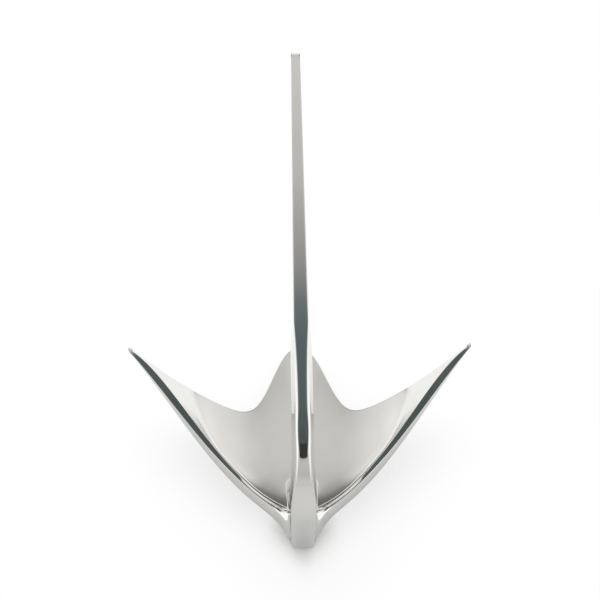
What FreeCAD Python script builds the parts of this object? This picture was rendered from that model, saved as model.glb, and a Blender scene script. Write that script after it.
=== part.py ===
import FreeCAD
import Part
import math
import os

# Claw anchor, one casting: a three-tined scoop and a bent shank with a shackle eye.
# Millimetres, +Z up, +Y from the crown towards the shackle eye, X across the tines.
# The curves are drawn with y measured from the heel line of the crown, z from the ground,
# and the finished casting is moved so that its box is centred on the origin in X and Y.

doc = FreeCAD.newDocument("ClawAnchor")
sizes = doc.addObject("Spreadsheet::Sheet", "Sizes")

driving = [
    ("tip_span", 340.0),           # across the two side tips
    ("tip_reach", 161.0),          # heel line to the side tips
    ("tip_lift", 109.5),           # height of the side tips
    ("tine_reach", 250.5),         # heel line to the point of the middle tine
    ("tine_width", 70.0),          # middle tine at a third of its length
    ("notch_reach", 142.5),        # heel line to the bottom of the notches
    ("dish_power", 1.64),          # how the underside rises: 1 straight, 2 round
    ("rim_setback", 16.0),         # heel line to the rear rim in the middle plane
    ("rim_lift", 31.0),            # height of the rear rim in the middle plane
    ("rim_return", 0.42),          # how much the rim curls back before the tips
    ("keel_flat", 36.0),           # width of the flat band that the anchor rests on
    ("plate_thickness", 11.0),     # floor of the scoop
    ("blade_thickness", 7.0),      # front edges of the tines
    ("blade_rake", 0.8),           # how far the middle tine's edge clears the ground
    ("rim_thickness", 3.6),        # rear rim near the crown
    ("shoulder_thickness", 12.0),  # rear rim where the side tines leave the scoop
    ("point_thickness", 1.6),      # side tips
    ("point_length", 3.0),         # blunt end of a side tip, from rim to front edge
    ("rim_tilt", 22.0),            # degrees that the rim looks backwards along the side tines
    ("crown_tilt", 4.0),           # the same beside the crown
    ("web_depth", 24.0),           # how far the scoop's back sweeps out to the crown
    ("web_width", 40.0),           # across the two sweeps
    ("shank_pitch", 10.0),         # degrees that the shank rises towards the eye
    ("shank_reach", 469.0),        # heel line to the far end of the shank
    ("eye_depth", 38.0),           # shank depth at the eye
    ("neck_depth", 54.0),          # shank depth where the bend starts
    ("bend_radius", 65.0),         # outer edge of the bend
    ("throat_radius", 30.0),       # inner edge of the bend
    ("throat_shift", 23.0),        # how far the throat's centre lies towards the eye
    ("bend_setback", 26.0),        # heel line to the centre of the bend
    ("bend_lift", 120.0),          # height of the centre of the bend
    ("back_lean", 17.0),           # degrees that the back leans out over the heel
    ("heel_radius", 11.0),         # corner between the back and the keel
    ("root_radius", 34.0),         # sweep of the throat into the scoop floor
    ("root_spread", 9.0),          # how much wider the post is where it meets the floor
    ("eye_bore", 16.0),            # shackle eye
    ("tongue_thickness", 10.4),    # shank thickness at the eye
    ("neck_thickness", 14.6),      # shank thickness before the bend
    ("taper_run", 120.0),          # straight run before the bend where the outer face narrows
    ("bend_flat", 5.7),            # width of the narrow outer face round the bend
    ("bend_thickness", 17.2),      # thickness round the bend
    ("crown_flat", 18.5),          # width of the outer face at the crown
    ("crown_thickness", 24.0),     # thickness at the crown
    ("edge_radius", 1.5),          # rounding of the shank's long edges
    ("back_edge", 4.0),            # rounding beside the outer face of the bend and crown
    ("throat_edge", 5.0),          # rounding beside the inner face of the bend and crown
]
for row, (name, value) in enumerate(driving, start=1):
    sizes.set("A%d" % row, name)
    sizes.set("B%d" % row, str(value))
    sizes.setAlias("B%d" % row, name)
doc.recompute()


def size(name):
    return float(sizes.get(name))


def ease(share):
    share = min(1.0, max(0.0, share))
    return share * share * (3.0 - 2.0 * share)


def along(start, end, share):
    return start + (end - start) * share


def bell(x, half_width, power=2.0):
    return math.exp(-(abs(x / half_width) ** power))


def curve_edge(poles):
    curve = Part.BezierCurve()
    curve.setPoles([FreeCAD.Vector(*pole) for pole in poles])
    return curve.toShape()


def line_edge(start, end):
    return Part.makeLine(FreeCAD.Vector(*start), FreeCAD.Vector(*end))


def add_loft(name, wires):
    sections = []
    for number, wire in enumerate(wires, start=1):
        section = doc.addObject("Part::Feature", "%sSection%d" % (name, number))
        section.Shape = wire
        sections.append(section)
    loft = doc.addObject("Part::Loft", name)
    loft.Sections = sections
    loft.Solid = True
    loft.Ruled = False
    return loft


# Scoop: its outlines are functions of the share of the half span,
# which is 0 in the middle plane and 1 at a side tip.

half_span = size("tip_span") / 2.0
half_keel = size("keel_flat") / 2.0 / half_span
half_web = size("web_width") / 2.0
half_tine = size("tine_width") / 2.0
rim_power = 1.78                   # how the rim sweeps forward from the crown
lift_power = 1.36                  # how the rim rises from the crown
notch_power = 3.0                  # how the front edge sweeps from notch to side tip
tine_power = 2.6                   # how square the sides of the middle tine are
shoulder_place = 0.84              # share of the half span where the rim is thickest
shoulder_run = 0.40                # share of the half span that the thick rim takes
point_power = 10.0                 # how late the rim thins to the side tip
blade_power = 6.0                  # how late the front edge thins to the side tip
plate_power = 4.0                  # how late the floor thins to the side tip
keel_round = 0.45                  # share of the keel band before the underside rises
keel_fade = 1.1                    # how far the keel reaches sideways, in half bands
keel_dips = (2.0, 5.0, 14.0)       # middle, rear and heel of the keel before it is cut flat
tilt_place = (0.25, 0.27)          # where the rim starts to tilt more, and over what share
wall_slopes = (0.08, 0.04)         # how far the wall slopes forward outside and inside
floor_sink = 0.2                   # how tightly the wall turns into the floor inside
wing_place = (0.50, 0.22)          # where the side tines lose the wall, and over what share
wing_poles = (0.22, 0.48, 0.75)    # share of the way from the rim to their front edge
floor_poles = (0.30, 0.65)         # share of the way to the front edge, rear one first
under_poles = (0.60, 0.30)         # share of the way to the front edge, front one first
under_turn = 0.55                  # how far down the outer wall starts to turn under
rim_web = (0.95, 4.0)              # reach and power of the web where it widens the rim
rim_web_shares = (0.64, 0.01)      # backwards and downwards parts of its depth there


def rim_back(share):
    curl = size("rim_return") * share ** (3.0 * rim_power)
    sweep = (1.0 + size("rim_return")) * share ** rim_power - curl
    return along(size("rim_setback"), size("tip_reach") - size("point_length"), sweep)


def rim_height(share):
    return along(size("rim_lift"), size("tip_lift"), share ** lift_power)


def rim_width(share):
    swell = bell(share - shoulder_place, shoulder_run)
    width = along(size("rim_thickness"), size("shoulder_thickness"), swell)
    return along(width, size("point_thickness"), share ** point_power)


def rim_lean(share):
    turn = ease((share - tilt_place[0]) / tilt_place[1])
    return along(size("crown_tilt"), size("rim_tilt"), turn)


def front_reach(share):
    side = along(size("notch_reach"), size("tip_reach"), share ** notch_power)
    tine = bell(share * half_span, half_tine, tine_power)
    return side + (size("tine_reach") - size("notch_reach")) * tine


def base_height(share):
    flat = keel_round * half_keel
    rise = (max(0.0, share - flat) / (1.0 - flat)) ** size("dish_power")
    return (size("tip_lift") - size("point_thickness")) * rise


def scoop_section(x):
    share = abs(x) / half_span
    tilt = math.radians(rim_lean(share))
    web = size("web_depth") * bell(x, half_web)
    widening = size("web_depth") * bell(x, rim_web[0] * half_web, rim_web[1])
    keel = bell(share, keel_fade * half_keel)
    middle_dip, rear_dip, heel_dip = [dip * keel for dip in keel_dips]
    rim_y = rim_back(share)
    rim_z = rim_height(share)
    width = rim_width(share)
    back_y = rim_y - width * math.cos(tilt) - rim_web_shares[0] * widening
    back_z = rim_z - width * math.sin(tilt) - rim_web_shares[1] * widening
    base_z = base_height(share)
    wall = rim_z - base_z
    heel_y = rim_y - width * math.cos(tilt) - wall_slopes[0] * wall - web
    front_y = front_reach(share)
    front_z = base_z + size("blade_rake") * (1.0 - share)
    blade = along(size("blade_thickness"), size("point_thickness"), share ** blade_power)
    floor = along(size("plate_thickness"), size("point_thickness"), share ** plate_power)
    floor_z = base_z + floor
    dish = [
        (rim_y + wall_slopes[1] * wall, floor_z - floor_sink * (rim_z - floor_z)),
        (along(rim_y, front_y, floor_poles[0]), floor_z),
        (along(rim_y, front_y, floor_poles[1]), floor_z),
    ]
    wing = ease((share - wing_place[0]) / wing_place[1])
    inner = [(x, rim_y, rim_z)]
    for (dish_y, dish_z), place in zip(dish, wing_poles):
        wing_y = along(rim_y, front_y, place)
        wing_z = along(rim_z, front_z + blade, place)
        inner.append((x, along(dish_y, wing_y, wing), along(dish_z, wing_z, wing)))
    inner.append((x, front_y, front_z + blade))
    outer = [
        (x, front_y, front_z),
        (x, along(rim_y, front_y, under_poles[0]), base_z - middle_dip),
        (x, heel_y + under_poles[1] * (front_y - rim_y), base_z - rear_dip),
        (x, heel_y, base_z - heel_dip),
        (x, heel_y, along(back_z, base_z, under_turn)),
        (x, back_y, back_z),
    ]
    edges = [
        curve_edge(inner),
        line_edge(inner[-1], outer[0]),
        curve_edge(outer),
        line_edge(outer[-1], inner[0]),
    ]
    return Part.Wire(edges)


stations = [0.05, 0.10, 0.15, 0.21, 0.28, 0.36, 0.45, 0.54, 0.63, 0.71, 0.79, 0.86, 0.92, 0.97, 1.0]
scoop_x = [-share * half_span for share in reversed(stations)]
scoop_x = scoop_x + [0.0] + [share * half_span for share in stations]
scoop = add_loft("Scoop", [scoop_section(x) for x in scoop_x])

# Shank: its side view in the middle plane, from the eye round the bend to the heel.

pitch = math.radians(size("shank_pitch"))
lean = math.radians(size("back_lean"))
up_shank = (math.cos(pitch), math.sin(pitch))
off_shank = (-math.sin(pitch), math.cos(pitch))
down_back = (math.sin(lean), -math.cos(lean))


def offset(point, direction, distance):
    return (point[0] + direction[0] * distance, point[1] + direction[1] * distance)


def between(start, end, share):
    return (along(start[0], end[0], share), along(start[1], end[1], share))


def facing(angle):
    return (-math.cos(angle), math.sin(angle))


bend_centre = (size("bend_setback"), size("bend_lift"))
bend_top = offset(bend_centre, off_shank, size("bend_radius"))
throat_rise = size("bend_radius") - size("neck_depth") - size("throat_radius")
throat_centre = offset(bend_centre, off_shank, throat_rise)
throat_centre = offset(throat_centre, up_shank, size("throat_shift"))
throat_top = offset(throat_centre, off_shank, size("throat_radius"))
end_radius = size("eye_depth") / 2.0
eye_y = size("shank_reach") - end_radius
eye_run = (eye_y - bend_top[0] - end_radius * math.sin(pitch)) / math.cos(pitch)
eye_top = offset(bend_top, up_shank, eye_run)
eye_centre = offset(eye_top, off_shank, -end_radius)
eye_under = offset(eye_top, off_shank, -size("eye_depth"))

corner_knee = (0.85, 0.15)         # width and depth shares of the outer corner's pole
inner_knee = (1.5, 0.1)            # width and depth of the inner corner, in roundings


def shank_section(outer, inner, flat, shoulder, flank, corner, rounding):
    # outer and inner are the edge points in the side view; flat, shoulder and flank are
    # widths from the outer face inwards; corner and rounding are the two corners' depths.
    depth = math.hypot(inner[0] - outer[0], inner[1] - outer[1])
    inward = ((inner[0] - outer[0]) / depth, (inner[1] - outer[1]) / depth)

    def at(width, down):
        point = offset(outer, inward, down)
        return (width / 2.0, point[0], point[1])

    right = [
        at(flat, 0.0),
        at(along(flat, shoulder, corner_knee[0]), corner_knee[1] * corner),
        at(shoulder, corner),
        at(flank, depth - rounding),
        at(flank, depth - inner_knee[1] * rounding),
        at(flank - inner_knee[0] * rounding, depth),
    ]
    left = [(-x, y, z) for x, y, z in right]
    edges = [
        line_edge(left[0], right[0]),
        curve_edge(right[0:3]),
        line_edge(right[2], right[3]),
        curve_edge(right[3:6]),
        line_edge(right[5], left[5]),
        curve_edge([left[5], left[4], left[3]]),
        line_edge(left[3], left[2]),
        curve_edge([left[2], left[1], left[0]]),
    ]
    return Part.Wire(edges)


def plain_section(outer, inner, thickness, edge):
    return shank_section(outer, inner, thickness - 2.0 * edge, thickness, thickness, edge, edge)


shank_wires = []
end_thinning = 0.8                 # thickness of the rounded end's last section
end_edge = 0.4                     # the rounding there, as a share of the half depth
for degrees in (7.0, 25.0, 45.0, 67.0, 90.0):
    angle = math.radians(degrees)
    middle = offset(eye_centre, up_shank, end_radius * math.cos(angle))
    reach = end_radius * math.sin(angle)
    outer = offset(middle, off_shank, reach)
    inner = offset(middle, off_shank, -reach)
    thickness = size("tongue_thickness") * along(end_thinning, 1.0, math.sin(angle))
    edge = min(size("edge_radius"), end_edge * reach)
    shank_wires.append(plain_section(outer, inner, thickness, edge))

full_thickness = 0.8               # share of the straight run where the shank stops thickening
bend_shoulder = 0.7                # width beside the narrow face, by the full thickness
flank_run = 0.6                    # share of the taper over which the flanks widen


def shank_thickness(share):
    grow = min(1.0, share / full_thickness)
    return along(size("tongue_thickness"), size("neck_thickness"), grow)


def tapered_section(outer, inner, thickness, share):
    # share is 0 where the outer face starts to narrow and 1 from the bend on.
    narrow = ease(share)
    flat = along(thickness - 2.0 * size("edge_radius"), size("bend_flat"), narrow)
    shoulder = along(thickness, bend_shoulder * size("bend_thickness"), narrow)
    flank = along(thickness, size("bend_thickness"), ease(share / flank_run))
    corner = along(size("edge_radius"), size("back_edge"), narrow)
    rounding = along(size("edge_radius"), size("throat_edge"), narrow)
    return shank_section(outer, inner, flat, shoulder, flank, corner, rounding)


for share in (0.02, 0.06, 0.13, 0.25, 0.42, 0.60, 0.74, 0.86, 0.95):
    outer = between(eye_top, bend_top, share)
    inner = between(eye_under, throat_top, share)
    taper = 1.0 - eye_run * (1.0 - share) / size("taper_run")
    shank_wires.append(tapered_section(outer, inner, shank_thickness(share), taper))

for share in (0.0, 0.15, 0.3, 0.45, 0.6, 0.75, 0.88, 1.0):
    angle = along(math.pi / 2.0 - pitch, -lean, share)
    outer = offset(bend_centre, facing(angle), size("bend_radius"))
    inner = offset(throat_centre, facing(angle), size("throat_radius"))
    shank_wires.append(tapered_section(outer, inner, size("neck_thickness"), 1.0))

# Post, root and heel: the shank's lower end, which spreads into the scoop.

heel = size("heel_radius")
root = size("root_radius")
plate = size("plate_thickness")
back_top = offset(bend_centre, facing(-lean), size("bend_radius"))
back_run = (back_top[1] - heel * (1.0 - math.sin(lean))) / math.cos(lean)
back_foot = offset(back_top, down_back, back_run)
heel_centre = (back_foot[0] + heel * math.cos(lean), heel)
front_top = offset(throat_centre, facing(-lean), size("throat_radius"))
front_run = (front_top[1] - plate - root * (1.0 - math.sin(lean))) / math.cos(lean)
front_foot = offset(front_top, down_back, front_run)
root_centre = (front_foot[0] + root * math.cos(lean), plate + root)

crown_shoulder = 0.97              # width beside the crown's outer face, by its thickness
post_part = 0.8                    # share of the back's run that belongs to the post
root_part = 0.8                    # share of the root's arc that the sections follow
root_sink = 0.3                    # how deep the root sinks into the floor, by its thickness
heel_sink = 0.7                    # the same at the heel
heel_narrowing = 0.65              # how much of the crown's width is left under the heel
heel_edge = 2.0                    # rounding of the heel's inner corners


def crown_section(outer, inner, grow, spread, rounding):
    flat = along(size("bend_flat"), size("crown_flat"), grow)
    flank = along(size("bend_thickness"), size("crown_thickness"), grow) + spread
    bend_width = bend_shoulder * size("bend_thickness")
    crown_width = crown_shoulder * size("crown_thickness")
    shoulder = along(bend_width, crown_width, grow)
    return shank_section(outer, inner, flat, shoulder, flank, size("back_edge"), rounding)


for share in (0.35, 0.70, 1.0):
    outer = offset(back_top, down_back, back_run * share * post_part)
    inner = offset(front_top, down_back, front_run * share)
    shank_wires.append(crown_section(outer, inner, ease(share), 0.0, size("throat_edge")))
for share in (0.35, 0.70, 1.0):
    outer = offset(back_top, down_back, back_run * along(post_part, 1.0, share))
    angle = along(-lean, -math.pi / 2.0, share * root_part)
    inner = offset(root_centre, facing(angle), root)
    inner = (inner[0], inner[1] - root_sink * plate * share)
    spread = size("root_spread") * share ** 2
    shank_wires.append(crown_section(outer, inner, 1.0, spread, size("throat_edge")))
for share in (0.5, 1.0):
    angle = along(-lean, -math.pi / 2.0, share)
    outer = offset(heel_centre, facing(angle), heel)
    inner = (root_centre[0], heel_sink * plate * (1.0 - share))
    spread = size("root_spread") * (1.0 - share)
    grow = along(1.0, heel_narrowing, share)
    shank_wires.append(crown_section(outer, inner, grow, spread, heel_edge))
shank = add_loft("Shank", shank_wires)

# Both forms in one casting, trimmed flat where it stands, with the eye drilled through.

casting = doc.addObject("Part::MultiFuse", "Casting")
casting.Shapes = [scoop, shank]

trim_depth = 20.0                  # deeper than any part of the keel before the trim
ground = doc.addObject("Part::Box", "Ground")
ground.setExpression("Length", "Sizes.tip_span * 1.2")
ground.setExpression("Width", "Sizes.shank_reach * 1.5")
ground.Height = trim_depth
ground.setExpression("Placement.Base.x", "-Sizes.tip_span * 0.6")
ground.setExpression("Placement.Base.y", "-Sizes.shank_reach * 0.25")
ground.Placement.Base.z = -trim_depth

standing = doc.addObject("Part::Cut", "Standing")
standing.Base = casting
standing.Tool = ground

drill_run = 3.0                    # length of the drill, in shank thicknesses
bore = doc.addObject("Part::Cylinder", "EyeBore")
bore.setExpression("Radius", "Sizes.eye_bore / 2")
bore.setExpression("Height", "Sizes.tongue_thickness * %g" % drill_run)
bore.Placement = FreeCAD.Placement(
    FreeCAD.Vector(-drill_run * size("tongue_thickness") / 2.0, *eye_centre),
    FreeCAD.Rotation(FreeCAD.Vector(0, 1, 0), 90),
)

anchor = doc.addObject("Part::Cut", "Anchor")
anchor.Label = "claw_anchor"
anchor.Base = standing
anchor.Tool = bore
anchor.setExpression(
    "Placement.Base.y", "-(Sizes.shank_reach + Sizes.bend_setback - Sizes.bend_radius) / 2"
)
doc.recompute()

for item in doc.Objects:
    if "Invalid" in item.State or "Error" in item.State:
        raise RuntimeError("%s did not build: %s" % (item.Name, item.State))

shape = anchor.Shape
if shape.isNull() or not shape.isValid():
    raise RuntimeError("%s has no valid shape" % anchor.Label)
if len(shape.Solids) != 1:
    raise RuntimeError("%s is %d solids, not one casting" % (anchor.Label, len(shape.Solids)))

os.makedirs("parts", exist_ok=True)
shape.exportStep("parts/%s.step" % anchor.Label)

eye_place = anchor.Placement.multVec(FreeCAD.Vector(0.0, *eye_centre))
centre = shape.Solids[0].CenterOfMass
print(anchor.Label, "volume", round(shape.Volume / 1000.0, 1), "cm3")
print("centre of mass", [round(v, 1) for v in centre])
print("eye", [round(v, 2) for v in eye_place])
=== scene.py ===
# A claw anchor of mirror polished stainless steel, standing on a pale studio floor.
import math
import bmesh
import bpy
from mathutils import Matrix, Vector


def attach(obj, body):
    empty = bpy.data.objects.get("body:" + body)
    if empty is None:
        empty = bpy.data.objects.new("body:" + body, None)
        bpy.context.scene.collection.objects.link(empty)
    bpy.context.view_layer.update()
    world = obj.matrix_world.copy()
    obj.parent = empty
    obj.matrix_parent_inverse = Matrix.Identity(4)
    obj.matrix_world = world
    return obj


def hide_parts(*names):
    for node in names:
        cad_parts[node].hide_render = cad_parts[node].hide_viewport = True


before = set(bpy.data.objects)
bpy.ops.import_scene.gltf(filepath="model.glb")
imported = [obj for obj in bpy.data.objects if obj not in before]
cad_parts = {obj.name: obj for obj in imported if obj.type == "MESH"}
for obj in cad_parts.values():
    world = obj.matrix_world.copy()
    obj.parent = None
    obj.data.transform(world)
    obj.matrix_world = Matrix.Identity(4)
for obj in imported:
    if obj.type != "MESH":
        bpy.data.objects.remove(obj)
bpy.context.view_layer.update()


class Wire:
    # a node's socket, with nodes made from it by name or by plain sums

    def __init__(self, tree, socket=None):
        self.tree = tree
        self.socket = socket

    def make(self, kind, settings=None, inputs=None, output=0):
        node = self.tree.nodes.new(kind)
        for name, value in (settings or {}).items():
            if name == "stops":
                self.fillRamp(node.color_ramp, value)
            else:
                setattr(node, name, value)
        for name, value in (inputs or {}).items():
            if isinstance(value, Wire):
                self.tree.links.new(value.socket, node.inputs[name])
            else:
                node.inputs[name].default_value = value
        return Wire(self.tree, node.outputs[output] if node.outputs else None)

    def twin(self, output):
        # another output of the same node
        return Wire(self.tree, self.socket.node.outputs[output])

    def fillRamp(self, ramp, stops):
        while len(ramp.elements) > len(stops):
            ramp.elements.remove(ramp.elements[-1])
        while len(ramp.elements) < len(stops):
            ramp.elements.new(1.0)
        for element, (place, colour) in zip(ramp.elements, stops):
            element.position = place
            element.color = colour + (1.0,)

    def ramp(self, value, span, stops):
        # the stops' places are in the value's own units
        first, last = span
        places = [((place - first) / (last - first), colour) for place, colour in stops]
        share = (value - first) / (last - first)
        return self.make("ShaderNodeValToRGB", {"stops": places}, {0: share}, output="Color")

    def maths(self, operation, *values):
        return self.make("ShaderNodeMath", {"operation": operation}, dict(enumerate(values)))

    def step(self, value, edges):
        # 0 at the first edge, 1 at the second
        return self.make("ShaderNodeMapRange", {"interpolation_type": "SMOOTHSTEP"}, {
            "Value": value, "From Min": edges[0], "From Max": edges[1], "To Min": 0.0, "To Max": 1.0})

    def blend(self, share, start, end):
        start, end = (value if isinstance(value, Wire) else tuple(value) + (1.0,) for value in (start, end))
        return self.make("ShaderNodeMix", {"data_type": "RGBA"}, {0: share, 6: start, 7: end}, output=2)

    def scaled(self, colour, share):
        return self.make("ShaderNodeVectorMath", {"operation": "SCALE"}, {0: colour, "Scale": share})

    def angleFrom(self, direction, axis):
        dot = self.make("ShaderNodeVectorMath", {"operation": "DOT_PRODUCT"}, {
            0: direction, 1: axis}, output="Value")
        return self.maths("ARCCOSINE", dot) * math.degrees(1.0)

    def __add__(self, other):
        return self.maths("ADD", self, other)

    def __radd__(self, other):
        return self.maths("ADD", other, self)

    def __sub__(self, other):
        return self.maths("SUBTRACT", self, other)

    def __rsub__(self, other):
        return self.maths("SUBTRACT", other, self)

    def __mul__(self, other):
        return self.maths("MULTIPLY", self, other)

    def __rmul__(self, other):
        return self.maths("MULTIPLY", other, self)

    def __truediv__(self, other):
        return self.maths("DIVIDE", self, other)

    def __rtruediv__(self, other):
        return self.maths("DIVIDE", other, self)


def freshTree(owner):
    owner.use_nodes = True
    owner.node_tree.nodes.clear()
    return Wire(owner.node_tree)


def towards(azimuth, elevation):
    # a direction outwards from the anchor, azimuth 0 behind the crown and 180 ahead of it
    a, e = math.radians(azimuth), math.radians(elevation)
    return Vector((math.sin(a) * math.cos(e), -math.cos(a) * math.cos(e), math.sin(e)))


# The camera
shot = {
    "focal": 60.0,                  # millimetres
    "sensor": 36.0,
    "elevation": 45.0,              # degrees above the floor
    "azimuth": -0.97,
    "distance": 1.108,              # metres
    "target": (0.0019, 0.0579, 0.060),
    "clipEnd": 50.0,
}


def placeCamera():
    lens = bpy.data.cameras.new("camera")
    lens.lens = shot["focal"]
    lens.sensor_width = shot["sensor"]
    lens.clip_end = shot["clipEnd"]
    camera = bpy.data.objects.new("camera", lens)
    back = towards(shot["azimuth"], shot["elevation"])
    camera.location = Vector(shot["target"]) + back * shot["distance"]
    camera.rotation_euler = (-back).to_track_quat("-Z", "Y").to_euler()
    bpy.context.scene.collection.objects.link(camera)
    bpy.context.scene.camera = camera


# The studio round the anchor, white for the camera, grey for the floor, and painted for the steel
sky = {
    "light": 0.86,                  # the grey that lights the floor
    "rampSpan": (0.0, 90.0),        # degrees that both ramps cover
    "ceilingLean": 80.0,            # degrees up, the middle of the dark ceiling, on the camera's side
    "ceiling": [                    # degrees from its middle, and the colour there
        (0.0, (0.10, 0.116, 0.118)),
        (26.0, (0.10, 0.118, 0.122)),
        (33.0, (0.103, 0.143, 0.152)),
        (35.2, (0.18, 0.20, 0.21)),
        (36.8, (0.31, 0.315, 0.31)),
        (38.4, (0.385, 0.38, 0.375)),
        (40.7, (0.49, 0.485, 0.48)),
        (42.4, (0.58, 0.57, 0.56)),
        (48.5, (0.69, 0.68, 0.67)),
        (60.0, (0.665, 0.655, 0.64)),
        (68.0, (0.65, 0.64, 0.625)),
        (76.0, (0.73, 0.72, 0.70)),
        (88.0, (0.87, 0.86, 0.845)),
    ],
    "sideFrom": (34.0, 66.0),       # degrees round from straight ahead, where the bright sides come in
    "sideTo": (150.0, 120.0),       # and where they end
    "sideUnder": (36.0, 44.0),      # degrees from the ceiling's middle, their upper edge
    "sideColour": (1.2, 1.2, 1.19),
    "rearFrom": (120.0, 150.0),     # degrees round, where the part behind comes in
    "rear": 0.87,                   # and how bright that is beside the rest
    "gloomLift": -2.0,              # degrees up, the middle of the dim stretch
    "gloom": [                      # degrees from its middle, and the share of light that it leaves
        (0.0, 0.17), (22.0, 0.19), (30.0, 0.30), (38.0, 0.62), (44.0, 0.84), (52.0, 1.0)],
    "gloomSide": (27.0, 37.0),      # degrees round, where it ends at the sides
    "gloomMiddle": (13.0, 5.0),     # and where it gives way straight ahead
    "patchLow": (37.0, 39.0),       # degrees up, the dark patch's lower edge
    "patchHigh": (61.0, 59.0),      # and its upper one
    "patchSide": (150.0, 154.0),    # degrees round, where it begins
    "patchColour": (0.047, 0.041, 0.035),
}


def buildSky():
    world = bpy.data.worlds.new("studioSky")
    bpy.context.scene.world = world
    paint = freshTree(world)
    direction = paint.make("ShaderNodeTexCoord", output="Generated")
    x = paint.make("ShaderNodeSeparateXYZ", {}, {0: direction}, output="X")
    around = paint.maths("ARCTAN2", paint.maths("ABSOLUTE", x), x.twin("Y")) * math.degrees(1.0)
    lift = paint.maths("ARCSINE", x.twin("Z")) * math.degrees(1.0)
    fromCeiling = paint.angleFrom(direction, towards(0.0, sky["ceilingLean"]))
    fromGloom = paint.angleFrom(direction, towards(180.0, sky["gloomLift"]))
    mirrored = paint.ramp(fromCeiling, sky["rampSpan"], sky["ceiling"])
    side = paint.step(around, sky["sideFrom"]) * paint.step(around, sky["sideTo"])
    side = side * paint.step(fromCeiling, sky["sideUnder"])
    mirrored = paint.blend(side, mirrored, sky["sideColour"])
    behind = paint.step(around, sky["rearFrom"])
    mirrored = paint.blend(behind, mirrored, paint.scaled(mirrored, sky["rear"]))
    gloom = paint.ramp(fromGloom, sky["rampSpan"], [(angle, (share,) * 3) for angle, share in sky["gloom"]])
    released = paint.step(around, sky["gloomSide"]) + paint.step(around, sky["gloomMiddle"])
    gloom = paint.blend(released, gloom, (1.0, 1.0, 1.0))
    mirrored = paint.make("ShaderNodeVectorMath", {"operation": "MULTIPLY"}, {0: mirrored, 1: gloom})
    patch = paint.step(lift, sky["patchLow"]) * paint.step(lift, sky["patchHigh"])
    patch = patch * paint.step(around, sky["patchSide"])
    mirrored = paint.blend(patch, mirrored, sky["patchColour"])
    isGlossy = paint.make("ShaderNodeLightPath", output="Is Glossy Ray")
    plain = paint.blend(isGlossy.twin("Is Camera Ray"), (sky["light"],) * 3, (1.0, 1.0, 1.0))
    colour = paint.blend(isGlossy, plain, mirrored)
    background = paint.make("ShaderNodeBackground", {}, {"Color": colour, "Strength": 1.0})
    paint.make("ShaderNodeOutputWorld", {}, {"Surface": background})


# The floor, which keeps the shadow near the heel and is plain white further out, and on which the steel sees
# a painted shade behind the heel
ground = {
    "size": 12.0,                   # metres
    "colour": (0.98, 0.98, 0.98),
    "heel": (0.0, -0.205, 0.0),     # where the anchor's heel stands
    "white": 0.64,                  # the share of white that covers the shadow near by
    "nearRun": (0.012, 0.045),      # metres from the heel, over which that share comes in
    "farRun": (0.10, 0.50),         # and over which the rest does
    "mirroredWhite": 0.5,           # the share that the steel mirrors
    "mirroredRun": (-1.0, 1.6),     # metres ahead that its ramp covers
    "mirrored": [                   # metres ahead, and how bright the steel mirrors the floor there: painted shade behind and beside the heel
        (-0.90, 0.42), (-0.35, 0.40), (-0.22, 0.35), (-0.12, 0.38), (0.08, 1.0), (0.40, 1.03),
        (0.90, 0.94), (1.60, 0.90)],
}


def paleFloor():
    material = bpy.data.materials.new("paleFloor")
    paint = freshTree(material)
    lit = paint.make("ShaderNodeBsdfDiffuse", {}, {"Color": ground["colour"] + (1.0,)})
    isCamera = paint.make("ShaderNodeLightPath", output="Is Camera Ray")
    isGlossy = isCamera.twin("Is Glossy Ray")
    place = paint.make("ShaderNodeTexCoord", output="Object")
    ahead = paint.make("ShaderNodeSeparateXYZ", {}, {0: place}, output="Y")
    # painted shade: the floor as the steel mirrors it is darker behind and beside the heel
    levels = [(reach, (level,) * 3) for reach, level in ground["mirrored"]]
    glow = paint.blend(isGlossy, (1.0, 1.0, 1.0), paint.ramp(ahead, ground["mirroredRun"], levels))
    white = paint.make("ShaderNodeEmission", {}, {"Color": glow, "Strength": 1.0})
    apart = paint.make("ShaderNodeVectorMath", {"operation": "DISTANCE"}, {
        0: place, 1: ground["heel"]}, output="Value")
    near = paint.step(apart, ground["nearRun"]) * ground["white"]
    far = paint.step(apart, ground["farRun"]) * (1.0 - ground["white"])
    share = isCamera * (near + far) + isGlossy * ground["mirroredWhite"]
    surface = paint.make("ShaderNodeMixShader", {}, {0: share, 1: lit, 2: white})
    paint.make("ShaderNodeOutputMaterial", {}, {"Surface": surface})
    return material


def buildFloor():
    mesh = bpy.data.meshes.new("floor")
    bm = bmesh.new()
    bmesh.ops.create_grid(bm, x_segments=1, y_segments=1, size=ground["size"] / 2.0)
    bm.to_mesh(mesh)
    bm.free()
    floor = bpy.data.objects.new("floor", mesh)
    bpy.context.scene.collection.objects.link(floor)
    floor.data.materials.append(paleFloor())


# The lamp overhead, which the steel doesn't mirror
lamp = {
    "power": 13.0,                  # watts
    "size": 1.8,                    # metres
    "place": (-0.1, 0.45, 2.1),
}


def hangLamp():
    light = bpy.data.lights.new("key", "AREA")
    light.energy = lamp["power"]
    light.shape = "DISK"
    light.size = lamp["size"]
    key = bpy.data.objects.new("key", light)
    key.location = lamp["place"]
    key.rotation_euler = (-Vector(lamp["place"])).to_track_quat("-Z", "Y").to_euler()
    key.visible_glossy = False
    bpy.context.scene.collection.objects.link(key)


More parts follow.
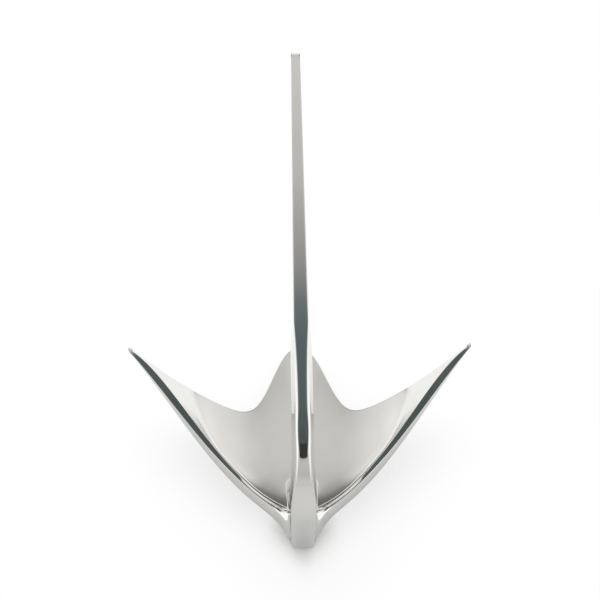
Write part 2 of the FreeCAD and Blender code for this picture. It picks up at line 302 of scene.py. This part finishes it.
# The polished steel
steel = {
    "colour": (0.82, 0.815, 0.79),
    "roughness": 0.035,
    "waves": 26.0,                  # the polisher's slow waves, per metre
    "waveDetail": 1.0,
    "waveHeight": 0.000035,         # metres
    "grain": 320.0,                 # fine marks along the casting, per metre
    "grainDetail": 2.0,
    "grainStretch": (1.0, 0.16, 0.5),
    "grainHeight": 0.0000022,
    "grainRoughness": 0.03,
    "smudges": 17.0,                # faint dull patches, per metre
    "smudgeDetail": 5.0,
    "smudgeBreak": 0.6,
    "smudgeEdges": (0.45, 0.75),    # noise levels where a patch begins and is whole
    "smudgeShare": 0.35,            # of its colour in the steel's
    "smudgeColour": (0.74, 0.735, 0.72),
    "smudgeRoughness": 0.05,
}


def polishedSteel():
    material = bpy.data.materials.new("polishedSteel")
    metal = freshTree(material)
    place = metal.make("ShaderNodeTexCoord", output="Object")
    waves = metal.make("ShaderNodeTexNoise", {}, {
        "Vector": place, "Scale": steel["waves"], "Detail": steel["waveDetail"]}, output="Fac")
    smudges = metal.make("ShaderNodeTexNoise", {}, {
        "Vector": place, "Scale": steel["smudges"], "Detail": steel["smudgeDetail"],
        "Roughness": steel["smudgeBreak"]}, output="Fac")
    stretched = metal.make("ShaderNodeMapping", {}, {"Vector": place, "Scale": steel["grainStretch"]})
    grain = metal.make("ShaderNodeTexNoise", {}, {
        "Vector": stretched, "Scale": steel["grain"], "Detail": steel["grainDetail"]}, output="Fac")
    smudged = metal.step(smudges, steel["smudgeEdges"])
    colour = metal.blend(smudged * steel["smudgeShare"], steel["colour"], steel["smudgeColour"])
    rough = steel["roughness"] + smudged * steel["smudgeRoughness"] + grain * steel["grainRoughness"]
    height = waves * steel["waveHeight"] + grain * steel["grainHeight"]
    bump = metal.make("ShaderNodeBump", {}, {"Height": height, "Distance": 1.0, "Strength": 1.0})
    surface = metal.make("ShaderNodeBsdfPrincipled", {}, {
        "Base Color": colour, "Metallic": 1.0, "Roughness": rough, "Normal": bump})
    metal.make("ShaderNodeOutputMaterial", {}, {"Surface": surface})
    return material


# The casting's cage, half of it drawn in millimetres from the heel line, then mirrored and rounded
casting = {
    "millimetre": 0.001,            # in metres
    "heelLine": 215.0,              # how far the heel line lies behind the frame's origin
    "merge": 0.001,                 # points this close become one
    "levels": 2,                    # of the subdivision surface
}


def along(start, end, share):
    return start + (end - start) * share


def ease(share):
    share = min(1.0, max(0.0, share))
    return share * share * (3.0 - 2.0 * share)


def bell(x, halfWidth, power=2.0):
    return math.exp(-abs(x / halfWidth) ** power)


def bezier(poles, share):
    while len(poles) > 1:
        poles = [a.lerp(b, share) for a, b in zip(poles, poles[1:])]
    return poles[0]


def upright(point, x=0.0):
    # a point of the side view, which holds reach and height, at this distance from the middle plane
    return Vector((x, point.x, point.y))


# The scoop, with its two side tines and its middle tine
scoop = {
    "halfSpan": 170.0,              # middle plane to a side tip
    "tipReach": 161.0,              # heel line to the side tips
    "tipLift": 109.5,
    "tineReach": 250.5,             # heel line to the point of the middle tine
    "halfTine": 35.0,
    "tinePower": 2.6,               # how square the middle tine's shoulders are
    "notchReach": 142.5,
    "frontPower": 3.0,              # how the front edge moves from the notch to the tips
    "dishPower": 1.64,              # how the underside rises to the tips
    "flatKeel": 8.1,                # half of the flat that it stands on
    "keelRun": 19.8,                # half width over which the outer curve's poles sink
    "keelSinks": (2.0, 5.0, 14.0),  # by how much, so that the keel comes out flat
    "floor": 11.0,                  # thickness
    "floorPower": 4.0,              # how it thins towards the tips
    "blade": 7.0,                   # thickness of the front edges
    "bladePower": 6.0,
    "rake": 0.8,                    # how far the front edge stands off the floor in the middle
    "rimSetback": 16.0,             # rear rim in the middle plane
    "rimLift": 31.0,
    "rimPower": 1.78,               # how the rim sweeps forward from the crown
    "rimReturn": 0.42,              # share by which the sweep eases off towards the tips
    "returnPower": 5.34,
    "liftPower": 1.36,              # how the rim rises
    "rim": 3.6,                     # width of the rear rim
    "shoulder": 12.0,               # its width where the side tines leave the scoop
    "shoulderPlace": 0.84,          # share of the half span where it is widest
    "shoulderRun": 0.40,            # and how far to either side that fades
    "point": 1.6,                   # thickness of the side tips
    "pointPower": 10.0,             # how late the rim narrows to it
    "pointLength": 3.0,
    "rimTilt": 22.0,                # degrees that the rim looks backwards along the side tines
    "crownTilt": 4.0,               # the same beside the crown
    "tiltRun": (0.25, 0.27),        # share of the half span where the tilt changes, and over how much
    "rimRound": 2.0,                # rounding of its outer edge beside the crown
    "tineRound": 0.6,               # the same along the side tines
    "roundRun": (0.35, 0.20),       # share of the half span where that changes, and over how much
    "innerRound": 0.5,              # rounding of its inner edge
    "webDepth": 24.0,               # how far the heel sweeps out to the crown
    "webHalf": 24.0,
    "rimWeb": 15.36,                # how far the rim's back edge does, and how far it sinks
    "rimWebSink": 0.24,
    "rimWebHalf": 19.0,
    "rimWebPower": 4.0,
    "wallLean": 0.08,               # how far the heel lies behind the rim, in the wall's height
    "backPole": 0.55,               # share of the wall's height, the outer curve's pole at the back
    "underPoles": (0.60, 0.30),     # shares of the reach, its two poles underneath
    "wallBulge": 0.04,              # in the wall's height, the inner curve's first pole ahead of the rim
    "dishDip": 0.2,                 # and below the floor
    "dishPoles": (0.30, 0.65),      # shares of the reach, its other two
    "wingRun": (0.50, 0.22),        # where the side tines turn plain inside, and over how much
    "wingPoles": (0.22, 0.48, 0.75),                        # its poles there, along a straight line
    "columns": (0.0, 9.0, 18.0, 26.0, 30.0, 34.0, 38.0, 42.0, 46.5, 51.5, 57.5, 64.0, 71.0,
                79.0, 87.0, 95.0, 103.0, 111.0, 119.0, 127.0, 135.0, 142.5, 149.5, 155.5,
                160.5, 164.5, 167.4, 169.2, 170.0),
    "crownColumn": 3,               # the column where the crown's hole ends
    "wallShares": (0.62, 0.70, 0.78, 0.86, 0.94, 1.0),      # along the outer curve, up to the rim
    "dishShares": (0.0, 0.02, 0.10, 0.19, 0.28, 0.39),      # along the inner curve, from the rim
    "floorShares": (0.49, 0.58, 0.67, 0.76, 0.84, 0.93, 0.995, 1.0),
    "underShares": (0.0, 0.02, 0.06, 0.12, 0.19, 0.27, 0.36, 0.45, 0.54),
}
rimPoints = 3                                               # of a section, across the rear rim
dishStart = len(scoop["wallShares"]) + rimPoints            # its first one inside the rim
holeEnd = dishStart + len(scoop["dishShares"]) - 1          # its last one beside the crown's hole
floorEnd = holeEnd + 1 + len(scoop["floorShares"])          # one past its last on the floor


def scoopSection(x):
    # the closed outline at x, from under the heel up the back, over the rim, forwards and back
    s = scoop
    share = abs(x) / s["halfSpan"]
    flat = s["flatKeel"] / s["halfSpan"]
    baseZ = (s["tipLift"] - s["point"]) * (max(0.0, share - flat) / (1.0 - flat)) ** s["dishPower"]
    floorZ = baseZ + along(s["floor"], s["point"], share ** s["floorPower"])

    sweep = (1.0 + s["rimReturn"]) * share ** s["rimPower"] - s["rimReturn"] * share ** s["returnPower"]
    rimY = along(s["rimSetback"], s["tipReach"] - s["pointLength"], sweep)
    rimZ = along(s["rimLift"], s["tipLift"], share ** s["liftPower"])
    tiltFrom, tiltOver = s["tiltRun"]
    tilt = math.radians(along(s["crownTilt"], s["rimTilt"], ease((share - tiltFrom) / tiltOver)))
    width = along(s["rim"], s["shoulder"], bell(share - s["shoulderPlace"], s["shoulderRun"]))
    width = along(width, s["point"], share ** s["pointPower"])
    rimWeb = bell(x, s["rimWebHalf"], s["rimWebPower"])
    backY = rimY - width * math.cos(tilt) - s["rimWeb"] * rimWeb
    backZ = rimZ - width * math.sin(tilt) - s["rimWebSink"] * rimWeb
    wall = rimZ - baseZ
    heelY = rimY - width * math.cos(tilt) - s["wallLean"] * wall - s["webDepth"] * bell(x, s["webHalf"])

    frontY = along(s["notchReach"], s["tipReach"], share ** s["frontPower"])
    frontY += (s["tineReach"] - s["notchReach"]) * bell(x, s["halfTine"], s["tinePower"])
    frontZ = baseZ + s["rake"] * (1.0 - share)
    blade = along(s["blade"], s["point"], share ** s["bladePower"])

    rim, front = Vector((rimY, rimZ)), Vector((frontY, frontZ + blade))
    dish = [Vector((rimY + s["wallBulge"] * wall, floorZ - s["dishDip"] * (rimZ - floorZ)))]
    dish += [Vector((along(rimY, frontY, pole), floorZ)) for pole in s["dishPoles"]]
    wingFrom, wingOver = s["wingRun"]
    wing = ease((share - wingFrom) / wingOver)
    dish = [pole.lerp(rim.lerp(front, place), wing) for pole, place in zip(dish, s["wingPoles"])]
    inner = [rim] + dish + [front]
    sinks = [sink * bell(x, s["keelRun"]) for sink in s["keelSinks"]]
    outer = [Vector(pole) for pole in (
        (frontY, frontZ),
        (along(rimY, frontY, s["underPoles"][0]), baseZ - sinks[0]),
        (heelY + s["underPoles"][1] * (frontY - rimY), baseZ - sinks[1]),
        (heelY, baseZ - sinks[2]),
        (heelY, along(backZ, baseZ, s["backPole"])),
        (backY, backZ))]

    roundFrom, roundOver = s["roundRun"]
    rounding = along(s["rimRound"], s["tineRound"], ease((share - roundFrom) / roundOver))
    outside = min(0.5, rounding / width)
    inside = 1.0 - s["innerRound"] / width
    points = [bezier(outer, t) for t in s["wallShares"]]
    points += [outer[-1].lerp(rim, along(outside, inside, k / (rimPoints - 1))) for k in range(rimPoints)]
    points += [bezier(inner, t) for t in s["dishShares"] + s["floorShares"]]
    points.append(front.lerp(outer[0], 0.5))
    points += [bezier(outer, t) for t in s["underShares"]]
    return [upright(Vector((point.x, max(0.0, point.y))), x) for point in points]


def floorAt(x, y):
    # the height of the scoop's inside
    inside = scoopSection(x)[dishStart:floorEnd]
    for a, b in zip(inside, inside[1:]):
        if a.y <= y <= b.y:
            return along(a.z, b.z, (y - a.y) / (b.y - a.y))
    return inside[-1].z


# The shank: a straight bar from the eye, a bend, and a post that runs down into the scoop
shank = {
    "pitch": 10.0,                  # degrees that the bar rises towards the eye
    "reach": 469.0,                 # heel line to the end of the eye
    "eyeDepth": 38.0,
    "neckDepth": 54.0,
    "bendRadius": 65.0,
    "bendCentre": (26.0, 120.0),
    "throatRadius": 30.0,
    "throatShift": 23.0,            # of the throat's centre along the bar
    "lean": 17.0,                   # degrees that the post leans back
    "heelRadius": 11.0,
    "rootRadius": 34.0,
    "tongue": 10.4,                 # width of the bar at the eye
    "neck": 14.6,                   # and where it meets the bend
    "neckPlace": 0.8,               # share of the bar where it has that width
    "bendFlat": 2.6,                # width of the bend's back, between its sloping shoulders
    "bendShoulder": 13.72,
    "bend": 19.6,
    "crownFlat": 17.6,              # the same three of the post
    "crownShoulder": 22.31,
    "crown": 23.0,
    "taperRun": 120.0,              # from the bend, where the bar starts to widen
    "taperEase": 0.45,              # share of that run over which it does
    "narrowRun": 92.0,              # from the bend, where its back starts to narrow
    "narrowPower": 2.2,
    "widenFrom": 48.0,              # degrees round the bend, where the back starts to widen again
    "widenOver": 54.0,
    "edge": 1.5,                    # rounding of the bar's edges
    "backEdge": 4.0,                # the post's at the back
    "throatEdge": 5.0,              # and in the throat
    "flatShares": (0.55, 0.97),     # of a flat face's half width, where a loop's points lie on it
    "shoulderPlace": 0.85,          # where the next one lies between the flat and the shoulder
    "edgeDrop": 0.12,               # in roundings, how deep the point on an edge lies, and how far in
    "edgeInset": 0.15,
    "edgeFoot": 1.5,                # and how much narrower the inner face is than the flank
    "flankPlace": 0.5,              # share of the depth where the flank has its full width
    "eyeLoop": 15.0,                # from the eye's centre to the bar's first loop
    "barShares": (0.93, 0.87, 0.80, 0.73, 0.66, 0.59, 0.52, 0.46, 0.40, 0.34),
    "taperRuns": (116.0, 104.0, 96.0, 91.0, 86.0, 77.0, 65.0, 51.0, 37.0, 23.0, 10.0),
    "bendLoops": 12,
    "postBacks": (91.0, 79.0, 67.0, 55.0, 44.0),            # heights of the post's loops
    "postFronts": (87.0, 77.0, 67.0, 57.0, 48.0),
    "barFlanks": [k / 12.0 for k in range(13)],             # shares of the flank's depth, point by point
    "crownFlanks": [                # the same beside the crown, gathered to meet the rim
        0.0, 0.05, 0.11, 0.175, 0.24, 0.29, 0.34, 0.39, 0.44, 0.52, 0.63, 0.79, 1.0],
}
flankStart, flankEnd = 4, 17        # a loop's points 4 to 16 lie on the flank
pitch, lean = math.radians(shank["pitch"]), math.radians(shank["lean"])
rise = Vector((math.cos(pitch), math.sin(pitch)))           # along the bar, towards the eye
off = Vector((-math.sin(pitch), math.cos(pitch)))           # square to it, upwards
fall = Vector((math.sin(lean), -math.cos(lean)))            # down the post


def turned(angle):
    # from straight back, upwards
    return Vector((-math.cos(angle), math.sin(angle)))


def footOf(top, radius, height):
    # where the post's straight line meets the rounding at its foot, and the rounding's centre
    run = (top.y - height - radius * (1.0 - math.sin(lean))) / math.cos(lean)
    foot = top + fall * run
    return foot, Vector((foot.x + radius * math.cos(lean), height + radius))


def lineAt(foot, height):
    # the point at this height on the line that ends there
    return foot + fall * ((foot.y - height) / math.cos(lean))


bendCentre = Vector(shank["bendCentre"])
bendTop = bendCentre + off * shank["bendRadius"]
throatTop = bendTop - off * shank["neckDepth"] + rise * shank["throatShift"]
throatCentre = throatTop - off * shank["throatRadius"]
endRadius = shank["eyeDepth"] / 2.0
eyeRun = (shank["reach"] - endRadius * (1.0 + math.sin(pitch)) - bendTop.x) / math.cos(pitch)
eyeTop = bendTop + rise * eyeRun
eyeCentre = eyeTop - off * endRadius
eyeUnder = eyeTop - off * shank["eyeDepth"]
backFoot, heelCentre = footOf(bendCentre + turned(-lean) * shank["bendRadius"], shank["heelRadius"], 0.0)
frontFoot, rootCentre = footOf(
    throatCentre + turned(-lean) * shank["throatRadius"], shank["rootRadius"], scoop["floor"])


def shankRing(outer, inner, flat, shoulder, flank, corner, rounding, gather):
    # half a loop, from the middle of the outer face round the flank to the middle of the inner one
    s = shank
    depth = (inner - outer).length
    inward = (inner - outer) / depth

    def at(width, down):
        return upright(outer + inward * down, width / 2.0)

    near, far = s["flatShares"]
    ring = [at(0.0, 0.0), at(near * flat, 0.0), at(far * flat, 0.0)]
    ring.append(at(along(flat, shoulder, s["shoulderPlace"]), s["edgeDrop"] * corner))
    for bar, crown in zip(s["barFlanks"], s["crownFlanks"]):
        share = along(bar, crown, gather)
        width = along(shoulder, flank, ease(share / s["flankPlace"]))
        ring.append(at(width, along(corner, depth - rounding, share)))
    ring.append(at(flank - s["edgeInset"] * rounding, depth - s["edgeDrop"] * rounding))
    foot = flank - s["edgeFoot"] * rounding
    return ring + [at(far * foot, depth), at(near * foot, depth), at(0.0, depth)]


def barRing(run):
    # this far along the bar from the bend
    s = shank
    share = (eyeRun - run) / eyeRun
    thick = along(s["tongue"], s["neck"], min(1.0, share / s["neckPlace"]))
    narrow = 1.0 - min(1.0, run / s["narrowRun"]) ** s["narrowPower"]
    flat = along(thick - 2.0 * s["edge"], s["bendFlat"], narrow)
    shoulder = along(thick, s["bendShoulder"], narrow)
    flank = along(thick, s["bend"], ease((1.0 - run / s["taperRun"]) / s["taperEase"]))
    corner = along(s["edge"], s["backEdge"], narrow)
    rounding = along(s["edge"], s["throatEdge"], narrow)
    outer, inner = eyeTop.lerp(bendTop, share), eyeUnder.lerp(throatTop, share)
    return shankRing(outer, inner, flat, shoulder, flank, corner, rounding, share)


def postRing(outer, inner, grow=1.0):
    # grow leads from the bend's widths to the post's
    s = shank
    flat = along(s["bendFlat"], s["crownFlat"], grow)
    shoulder = along(s["bendShoulder"], s["crownShoulder"], grow)
    flank = along(s["bend"], s["crown"], grow)
    return shankRing(outer, inner, flat, shoulder, flank, s["backEdge"], s["throatEdge"], 1.0)


def shankRings():
    s = shank
    runs = [eyeRun - s["eyeLoop"]] + [eyeRun * share for share in s["barShares"]] + list(s["taperRuns"])
    rings = [barRing(run) for run in runs]
    for k in range(s["bendLoops"]):
        angle = along(math.pi / 2.0 - pitch, -lean, k / (s["bendLoops"] - 1))
        outer = bendCentre + turned(angle) * s["bendRadius"]
        inner = throatCentre + turned(angle) * s["throatRadius"]
        grow = ease((math.radians(s["widenFrom"]) - angle) / math.radians(s["widenOver"]))
        rings.append(postRing(outer, inner, grow))
    for back, front in zip(s["postBacks"], s["postFronts"]):
        rings.append(postRing(lineAt(backFoot, back), lineAt(frontFoot, front)))
    return rings


# The collar, where the post's loops leave its flank and spread on to the scoop, loop by loop
collar = {
    "start": (30.0, 40.0),          # heights of its first loop, at the back and at the front
    "backHeights": (19.0, 10.0),
    "backTurns": (-45.0, -80.0),    # degrees round the heel's rounding
    "frontTurns": (-22.0, -35.0, -47.0),                    # round the root's
    "frontEnd": (57.5, 17.2),       # reach and height of the last loop at the front
    "frontInset": 0.6,              # how far the first one's corner comes back there
    "flats": (8.8, 8.5, 7.8, 6.8),  # half widths of the flat back
    "corners": (10.7, 10.7, 10.3, 9.4),                     # and out to its edge
    "columns": (11.8, 13.6, 17.0, 21.5),                    # from the middle plane, behind the scoop
    "rises": (11.0, 6.6, 3.0, 0.8),                         # off its surface
    "innerColumns": (11.55, 12.4, 15.4, 20.4),              # the same two inside it, a smaller fillet
    "innerRises": (1.4, 0.15, 0.0, 0.0),
    "innerRun": (6.5, 4.0),         # the section's point where it turns small, and over how many
    "riseRun": (0.15, 6.0),         # share of the rise under the heel, and the points that add the rest
    "lowest": 0.4,                  # off the ground
    # the three points beside the middle at the front: their columns, and their shares of its height
    "frontColumns": ((11.4, 12.1, 13.2, 14.4), (8.4, 8.9, 9.6, 10.4), (4.7, 4.9, 5.3, 6.0)),
    "frontShares": ((0.75, 0.30, 0.05, 0.0), (0.97, 0.85, 0.50, 0.20), (1.0, 0.97, 0.86, 0.70)),
    "evenedPoints": (7, 18),        # of the second loop, evened out along it
    "softRows": 3,                  # how many loops are smoothed, and which of their points
    "softPoints": (5, 12),
    "smoothings": 2,
}


def evened(points):
    # all but the first and the last move halfway to the middle of their neighbours
    between = [(a + b * 2.0 + c) / 4.0 for a, b, c in zip(points, points[1:], points[2:])]
    return points[:1] + between + points[-1:]


def filletPoint(m, k):
    # the collar's loop m beside the point k of the scoop's section
    s = collar
    innerFrom, innerOver = s["innerRun"]
    inner = ease((k - innerFrom) / innerOver)
    section = scoopSection(along(s["columns"][m], s["innerColumns"][m], inner))
    tangent = (section[k + 1] - section[k - 1]).normalized()
    least, whole = s["riseRun"]
    lift = along(s["rises"][m] * min(1.0, least + k / whole), s["innerRises"][m], inner)
    point = section[k] + Vector((0.0, -tangent.z, tangent.y)) * lift
    point.z = max(point.z, s["lowest"])
    return point


def collarRings(last):
    s = collar
    start = [lineAt(foot, height) for foot, height in zip((backFoot, frontFoot), s["start"])]
    backs = [lineAt(backFoot, height) for height in s["backHeights"]]
    backs += [heelCentre + turned(math.radians(angle)) * shank["heelRadius"] for angle in s["backTurns"]]
    fronts = [rootCentre + turned(math.radians(angle)) * shank["rootRadius"] for angle in s["frontTurns"]]
    fronts.append(Vector(s["frontEnd"]))
    rings = []
    for m, (back, front) in enumerate(zip(backs, fronts)):
        ring = postRing(back, front)
        for k, share in enumerate(shank["flatShares"], 1):
            ring[k].x = share * s["flats"][m]
        ring[flankStart - 1].x = s["corners"][m]
        ring[flankStart:flankEnd] = [filletPoint(m, k) for k in range(1, holeEnd)]
        if m == 0:
            first, end = s["evenedPoints"]
            for turn in range(s["smoothings"]):
                ring[first:end] = evened(ring[first:end])
        for point, columns, shares in zip(ring[flankEnd:], s["frontColumns"], s["frontShares"]):
            point.x = columns[m]
            point.z = along(floorAt(point.x, point.y), ring[-1].z, shares[m])
        rings.append(ring)
    opening = [a.lerp(b, 0.5) for a, b in zip(last, rings[0])]
    for point in opening[:flankStart]:
        point.y, point.z = start[0]
    for point in opening[flankEnd:]:
        point.y, point.z = start[1]
    opening[flankEnd].y -= s["frontInset"]
    return [opening] + rings


# The eye at the bar's end
eye = {
    "bore": 16.0,
    "boreSwell": 1.01,              # makes up for what the subdivision takes off
    "endLoops": 12,                 # steps round the end
    "boreLoops": (                  # share of the way out to the face's outline, added radius, depth
        (0.5, 1.4, 0.0), (0.0, 1.4, 0.0), (0.0, 0.42, 0.25), (0.0, 0.0, 1.1), (0.0, 0.0, 2.2)),
}


def edgesAlong(bm, verts, closed=False):
    pairs = list(zip(verts, verts[1:])) + ([(verts[-1], verts[0])] if closed else [])
    return [bm.edges.get(pair) or bm.edges.new(pair) for pair in pairs]


def startRow(bm, places):
    row = [bm.verts.new(place) for place in places]
    edgesAlong(bm, row)
    return row


def extend(bm, verts, places, closed=False):
    # extrudes the edges along verts, and moves the new row to its places
    made = bmesh.ops.extrude_edge_only(bm, edges=edgesAlong(bm, verts, closed))["geom"]
    twins = {tuple(item.co): item for item in made if isinstance(item, bmesh.types.BMVert)}
    row = [twins[tuple(vert.co)] for vert in verts]
    for vert, place in zip(row, places):
        vert.co = place
    return row


def extrudeScoop(bm):
    # column by column to the side tip, round a hole for the crown, whose edge is returned
    columns, crown = scoop["columns"], scoop["crownColumn"]
    section = scoopSection(columns[0])
    row = startRow(bm, section[holeEnd:] + section[:1])
    backEdge, frontEdge = [row[-1]], [row[0]]
    for x in columns[1:crown + 1]:
        section = scoopSection(x)
        row = extend(bm, row, section[holeEnd:] + section[:1])
        backEdge.append(row[-1])
        frontEdge.append(row[0])
    side = startRow(bm, section[1:holeEnd])
    row = [row[-1]] + side + row[:-1]
    edgesAlong(bm, row)
    for x in columns[crown + 1:]:
        row = extend(bm, row, scoopSection(x), closed=True)
    bmesh.ops.edgeloop_fill(bm, edges=edgesAlong(bm, row, closed=True))
    return [vert.co.copy() for vert in backEdge + side + frontEdge[::-1]]


def extrudeEye(bm, ring):
    # the edge strip turns round the end, and the side face closes in on the bore
    s = shank
    half = s["tongue"] / 2.0
    profile = [(0.0, 0.0)] + [(share * (half - s["edge"]), 0.0) for share in s["flatShares"]]
    profile += [(half - s["edgeInset"] * s["edge"], s["edgeDrop"] * s["edge"]), (half, s["edge"])]
    strip = startRow(bm, ring[:len(profile)])
    row, outline = strip, [strip[-1]]
    for k in range(eye["endLoops"] + 1):
        angle = math.pi * k / eye["endLoops"]
        ray = off * math.cos(angle) + rise * math.sin(angle)
        row = extend(bm, row, [upright(eyeCentre + ray * (endRadius - down), x) for x, down in profile])
        outline.append(row[-1])
    row = extend(bm, row, ring[:-len(profile) - 1:-1])
    flank = startRow(bm, ring[flankStart + 1:flankEnd - 1])
    outline += [row[-1]] + flank[::-1]
    whole = strip + flank + row[::-1]
    edgesAlong(bm, whole)

    # the bore's points lie evenly round it, however the outline's do
    rays = [Vector((vert.co.y, vert.co.z)) - eyeCentre for vert in outline]
    angles = []
    for ray in rays:
        angle = math.atan2(ray.dot(rise), ray.dot(off))
        angles.append(angle if not angles or angle > angles[-1] else angle + 2.0 * math.pi)
    step = 2.0 * math.pi / len(rays)
    middle = eye["endLoops"] // 2 + 1                       # the outline's point at the very end
    evenAngles = [math.pi / 2.0 + (k - middle) * step for k in range(len(rays))]
    radius = eye["bore"] / 2.0 * eye["boreSwell"]
    for reach, added, down in eye["boreLoops"] + ((0.0, 0.0, half),):
        places = []
        for ray, angle, evenAngle in zip(rays, angles, evenAngles):
            turn = along(evenAngle, angle, reach)
            spoke = off * math.cos(turn) + rise * math.sin(turn)
            places.append(upright(eyeCentre + spoke * along(radius + added, ray.length, reach), half - down))
        outline = extend(bm, outline, places, closed=True)
    return whole


def buildCage():
    bm = bmesh.new()
    hole = extrudeScoop(bm)
    rings = shankRings()
    spread = collarRings(rings[-1])
    rows = [extrudeEye(bm, rings[0])]
    for ring in rings[1:] + spread:
        rows.append(extend(bm, rows[-1], ring))
    extend(bm, rows[-1], hole)
    bmesh.ops.remove_doubles(bm, verts=bm.verts, dist=casting["merge"])
    first, end = collar["softPoints"]
    soft = [vert for row in rows[-len(spread):][:collar["softRows"]] for vert in row[first:end]]
    for turn in range(collar["smoothings"]):
        bmesh.ops.smooth_vert(bm, verts=soft, factor=0.5, use_axis_x=True, use_axis_y=True, use_axis_z=True)
    bmesh.ops.mirror(bm, geom=bm.verts[:] + bm.edges[:] + bm.faces[:], merge_dist=casting["merge"], axis="X")
    bmesh.ops.recalc_face_normals(bm, faces=bm.faces)
    for face in bm.faces:
        face.smooth = True
    return bm


def castAnchor():
    cage = buildCage()
    print("cage ready:", len(cage.faces), "faces")
    toMetres = Matrix.Diagonal((casting["millimetre"],) * 3 + (1.0,))
    toFrame = toMetres @ Matrix.Translation((0.0, -casting["heelLine"], 0.0))
    bmesh.ops.transform(cage, matrix=toFrame, verts=cage.verts)
    mesh = bpy.data.meshes.new("clawAnchor")
    cage.to_mesh(mesh)
    cage.free()
    anchor = bpy.data.objects.new("clawAnchor", mesh)
    bpy.context.scene.collection.objects.link(anchor)
    rounded = anchor.modifiers.new("rounded", "SUBSURF")
    rounded.levels = casting["levels"]
    rounded.render_levels = casting["levels"]
    anchor.data.materials.append(polishedSteel())
    return anchor


bpy.context.scene.view_settings.view_transform = "Standard"
placeCamera()
buildSky()
buildFloor()
hangLamp()
print("studio ready")

anchor = castAnchor()
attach(anchor, "root")
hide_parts("claw_anchor")
print("casting ready")
